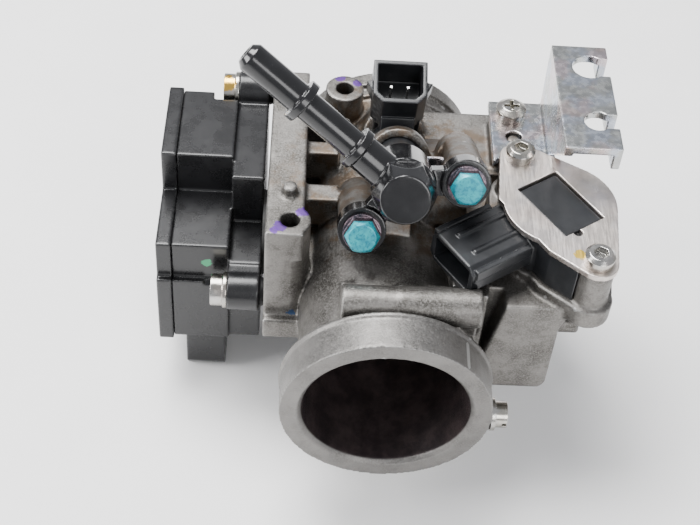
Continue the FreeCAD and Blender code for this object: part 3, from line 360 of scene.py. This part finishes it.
def plated_steel(name, tone, roughness, tint=0.0, brushed=(1, 1, 1)):
    """Zinc-plated or brushed steel with fine streaks, dull patches and a faint tint."""
    shade = Shade(name, roughness, 1.0)
    streak = shade.noise(1.6, 3, 0.5, brushed)
    cloud = shade.noise(5, 4, 0.6)
    dull = tuple(v * 0.72 for v in tone)
    color = shade.mix(shade.band(cloud, 0.35, 0.7), tone, dull)
    color = shade.mix(shade.math("MULTIPLY", shade.band(shade.noise(7, 3, 0.5), 0.45, 0.6), tint),
                      color, (0.46, 0.52, 0.66))
    color = shade.mix(shade.math("MULTIPLY", shade.band(shade.noise(8.5, 3, 0.5), 0.5, 0.64), tint),
                      color, (0.66, 0.5, 0.48))
    # Painted shade: the inside corners are darkened.
    color = shade.mix(shade.math("MULTIPLY", shade.hollows(), 0.6), color, (0.1, 0.09, 0.08))
    color = shade.marks(color, YELLOW_DOTS)
    rough = shade.band(streak, 0.3, 0.7, roughness - 0.05, roughness + 0.08)
    shade.bump(streak, 0.02, 0.2)
    return shade.finish(color, rough)


def machined(name, tone, roughness):
    """Turned metal with fine cutting marks."""
    return plated_steel(name, tone, roughness, 0.0, (0.2, 4, 4))


def bolt_paint():
    """Dark bolts whose heads are dabbed with teal paint, over an iridescent washer face."""
    shade = Shade("teal_bolt", 0.3, 0.55)
    up = INJECTOR_TURN @ Vector((0, 0, 1))
    height = shade.along(INJECTOR_TIP, up)
    dark = shade.mix(shade.band(shade.noise(2.5), 0.35, 0.65), (0.05, 0.055, 0.07), (0.16, 0.12, 0.14))
    teal = shade.mix(shade.band(shade.noise(1.6, 5, 0.7), 0.35, 0.65),
                     (0.008, 0.2, 0.27), (0.02, 0.36, 0.4))
    level = shade.math("ADD", height, shade.math("MULTIPLY", shade.noise(1.2), 0.0012))
    painted = shade.step(level, BOLT_PAINT_HEIGHT)
    worn = shade.math("MULTIPLY", shade.edges(0.53, 0.62), shade.band(shade.noise(0.9), 0.45, 0.6))
    painted = shade.math("SUBTRACT", painted, shade.math("MULTIPLY", worn, 0.8))
    color = shade.mix(painted, dark, teal)
    metal = shade.band(painted, 0.0, 1.0, 0.9, 0.25)
    shade.bump(shade.noise(0.5, 4, 0.7), 0.03, 0.5)
    return shade.finish(color, shade.band(shade.noise(0.8), 0.3, 0.7, 0.2, 0.42), metal)


def rubber():
    """Dull black rubber."""
    shade = Shade("rubber", 0.7)
    color = shade.mix(shade.band(shade.noise(2), 0.3, 0.7), (0.02, 0.02, 0.02), (0.045, 0.044, 0.042))
    shade.bump(shade.noise(0.3, 4), 0.03, 0.4)
    return shade.finish(color, shade.band(shade.noise(1), 0.3, 0.7, 0.6, 0.8))


def board_green():
    """Lacquered circuit board."""
    shade = Shade("board", 0.35)
    color = shade.mix(shade.band(shade.cells(2.2), 0.1, 0.3), (0.02, 0.12, 0.06), (0.03, 0.2, 0.1))
    shade.bump(shade.cells(2.2), 0.05, 0.4)
    return shade.finish(color, shade.band(shade.noise(1), 0.3, 0.7, 0.3, 0.45))


MATERIALS = {
    "cast": cast_alloy(),
    "satin": black_plastic("satin_plastic", (0.011, 0.011, 0.012), 0.27, 0.5, 0.1, 0.25, GREEN_DOT),
    "gloss": black_plastic("gloss_plastic", (0.008, 0.008, 0.009), 0.17, 0.3, 0.3),
    "matt": black_plastic("matt_plastic", (0.013, 0.014, 0.016), 0.33, 0.5, 0.1),
    "zinc": plated_steel("zinc_steel", (0.5, 0.51, 0.5), 0.24, 0.5),
    "screw": plated_steel("screw_steel", (0.5, 0.48, 0.43), 0.2, 0.15),
    "cover": plated_steel("cover_steel", (0.68, 0.62, 0.57), 0.34, 0.1, (5, 0.3, 1)),
    "turned": machined("turned_steel", (0.55, 0.54, 0.52), 0.25),
    "brass": machined("brass", (0.7, 0.5, 0.24), 0.3),
    "spring": machined("spring_wire", (0.35, 0.34, 0.32), 0.32),
    "teal": bolt_paint(),
    "rubber": rubber(),
    "board": board_green(),
}

# ---------------------------------------------------------------- the casting

# Millimetres, but for the passes and the weight.
CASTING_VOXEL = 0.42
CASTING_PASSES = 9
MACHINED_WEIGHT = 0.15
RING_BACK = 11.3
FLANGE_FRONT = 95
BORE_EDGE = 22
POST_TOPS = ((-26.6, 38.5, 30), (-13, 91, 30))
POST_FACE_RADIUS = 6
POST_FACE_DEPTH = 1.2
VALVE_CENTRE = (42.9, 43.1)
VALVE_FACE_RADIUS = 26
VALVE_FACE_HEIGHTS = (22, 24)


def casting_weight(points):
    """How much the sand-cast skin is rounded: little on machined faces, full elsewhere."""
    x, y, z = points.T
    radius = np.hypot(x, z)
    machined_face = (y < RING_BACK) | ((y > FLANGE_FRONT) & (radius > BORE_EDGE)) | (radius < BORE_EDGE)
    for post_x, post_y, top in POST_TOPS:
        on_post = np.hypot(x - post_x, y - post_y) < POST_FACE_RADIUS
        machined_face |= on_post & (z > top - POST_FACE_DEPTH)
    low, high = VALVE_FACE_HEIGHTS
    on_seat = np.hypot(x - VALVE_CENTRE[0], y - VALVE_CENTRE[1]) < VALVE_FACE_RADIUS
    machined_face |= (z > low) & on_seat & (z < high)
    return np.where(machined_face, MACHINED_WEIGHT, 1.0)


def casting():
    """The aluminium housing."""
    piece = soften("throttle_housing", CASTING_VOXEL, CASTING_PASSES, casting_weight, "casting_skin")
    return dress(piece, MATERIALS["cast"], "casting", "cast_alloy", "throttle_housing")


# ---------------------------------------------------------------- the other softened pieces

SOFTENED = (
    # node, voxel in mm, rounding passes, material, body, record slot
    ("sensor_housing", 0.3, 7, "satin", "casting", "satin_black_plastic"),
    ("sensor_cap", 0.3, 9, "satin", "casting", "satin_black_plastic"),
    ("sensor_screws", 0.14, 3, "screw", "casting", "steel_screws"),
    ("injector_connector", 0.2, 4, "matt", "casting", "matt_black_plastic"),
    ("injector_retainer", 0.14, 2, "zinc", "casting", "zinc_steel"),
    ("fuel_joint", 0.22, 7, "gloss", "casting", "gloss_black_plastic"),
    ("fuel_joint_bolts", 0.15, 3, "teal", "casting", "teal_bolts"),
    ("idle_valve_body", 0.22, 5, "matt", "casting", "matt_black_plastic"),
    ("idle_valve_cover", 0.2, 2, "cover", "casting", "cover_steel"),
    ("idle_valve_screws", 0.13, 3, "screw", "casting", "steel_screws"),
    ("cable_bracket", 0.22, 9, "zinc", "casting", "zinc_steel"),
    ("cable_bracket_screw", 0.12, 3, "screw", "casting", "steel_screws"),
    ("side_plug_screw", 0.12, 3, "screw", "casting", "steel_screws"),
    ("stop_screw", 0.13, 3, "screw", "casting", "steel_screws"),
    ("throttle_drum", 0.2, 2, "zinc", "throttle", "zinc_steel"),
    ("drum_nut", 0.12, 3, "screw", "throttle", "steel_screws"),
)

CARRIED = {
    "engine_side_seal_ring": "rubber", "shaft_bush_left": "brass", "shaft_bush_right": "brass",
    "shaft_seals": "rubber", "throttle_shaft": "turned", "throttle_plate": "brass",
    "throttle_plate_screws": "screw", "drum_washer": "screw", "return_spring": "spring",
    "stop_screw_spring": "spring", "sensor_rotor": "matt", "sensor_circuit_board": "board",
    "sensor_socket_blades": "brass", "sensor_seal_ring": "rubber", "injector_body": "turned",
    "injector_seal_rings": "rubber", "injector_socket_blades": "turned",
    "idle_valve_socket_blades": "turned", "idle_valve_slide": "matt",
}


def carry_over():
    """Give the CAD nodes that stay as they are their materials."""
    for node, kind in CARRIED.items():
        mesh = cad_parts[node].data
        if not mesh.materials:
            mesh.materials.append(MATERIALS[kind])
        for index in range(len(mesh.materials)):
            mesh.materials[index] = MATERIALS[kind]


# ---------------------------------------------------------------- floor, light and camera

FLOOR_RADIUS = 4
FLOOR_GAP = 0.0004
LIT_POINT = (0, 0.05, 0.01)
ROOM_COLOR = (0.93, 0.95, 1.0, 1)
ROOM_STRENGTH = 0.66

# Degrees, millimetres and the lens in millimetres.
CAMERA_AZIMUTH = -3.39
CAMERA_ELEVATION = 47.71
CAMERA_ROLL = 5.14
CAMERA_PLACE = (-25.10, -211.50, 289.87)
CAMERA_LENS = 72
CAMERA_SENSOR = 36


def floor():
    """A plain pale surface under the object."""
    form = bmesh.new()
    bmesh.ops.create_circle(form, cap_ends=True, segments=96, radius=FLOOR_RADIUS)
    mesh = bpy.data.meshes.new("floor")
    form.to_mesh(mesh)
    form.free()
    piece = new_piece("floor", mesh)
    piece.location.z = CAD_BOX[0][2] - FLOOR_GAP
    shade = Shade("floor_paint", 0.75)
    color = shade.mix(shade.band(shade.noise(30, 2), 0.3, 0.7), (0.9, 0.895, 0.89), (0.92, 0.915, 0.91))
    mesh.materials.append(shade.finish(color))


def lamp(name, at, aim, size, power):
    """A square soft box that faces a point."""
    data = bpy.data.lights.new(name, "AREA")
    data.shape = "SQUARE"
    data.size = size
    data.energy = power
    lamp_object = bpy.data.objects.new(name, data)
    bpy.context.scene.collection.objects.link(lamp_object)
    lamp_object.location = at
    lamp_object.rotation_euler = (Vector(aim) - Vector(at)).to_track_quat("-Z", "Y").to_euler()


def lighting():
    """Soft studio light: a big box above and behind, a fill in front and a pale room."""
    world = bpy.data.worlds.new("room")
    bpy.context.scene.world = world
    world.use_nodes = True
    background = world.node_tree.nodes["Background"]
    background.inputs["Color"].default_value = ROOM_COLOR
    background.inputs["Strength"].default_value = ROOM_STRENGTH
    lamp("top_box", (-0.2, 0.3, 0.8), LIT_POINT, 0.5, 17.0)
    lamp("left_box", (-0.8, -0.1, 0.45), LIT_POINT, 0.4, 8.0)
    lamp("front_fill", (0.35, -0.8, 0.5), LIT_POINT, 0.5, 5.0)


def camera():
    """The view of the object: from in front of the inlet, well above it."""
    azimuth = math.radians(CAMERA_AZIMUTH)
    elevation = math.radians(CAMERA_ELEVATION)
    roll = math.radians(CAMERA_ROLL)
    place = Vector(CAMERA_PLACE) * MM
    away = Vector((-math.sin(azimuth) * math.cos(elevation), math.cos(azimuth) * math.cos(elevation),
                   -math.sin(elevation)))
    data = bpy.data.cameras.new("camera")
    data.sensor_width = CAMERA_SENSOR
    data.lens = CAMERA_LENS
    data.clip_start = 0.01
    eye = bpy.data.objects.new("camera", data)
    bpy.context.scene.collection.objects.link(eye)
    level = away.to_track_quat("-Z", "Y").to_matrix()
    eye.matrix_world = Matrix.Translation(place) @ (level @ Matrix.Rotation(roll, 3, "Z")).to_4x4()
    bpy.context.scene.camera = eye


camera()
lighting()
floor()
casting()
for node, voxel, passes, kind, body, slot in SOFTENED:
    dress(soften(node, voxel, passes), MATERIALS[kind], body, slot, node)
carry_over()
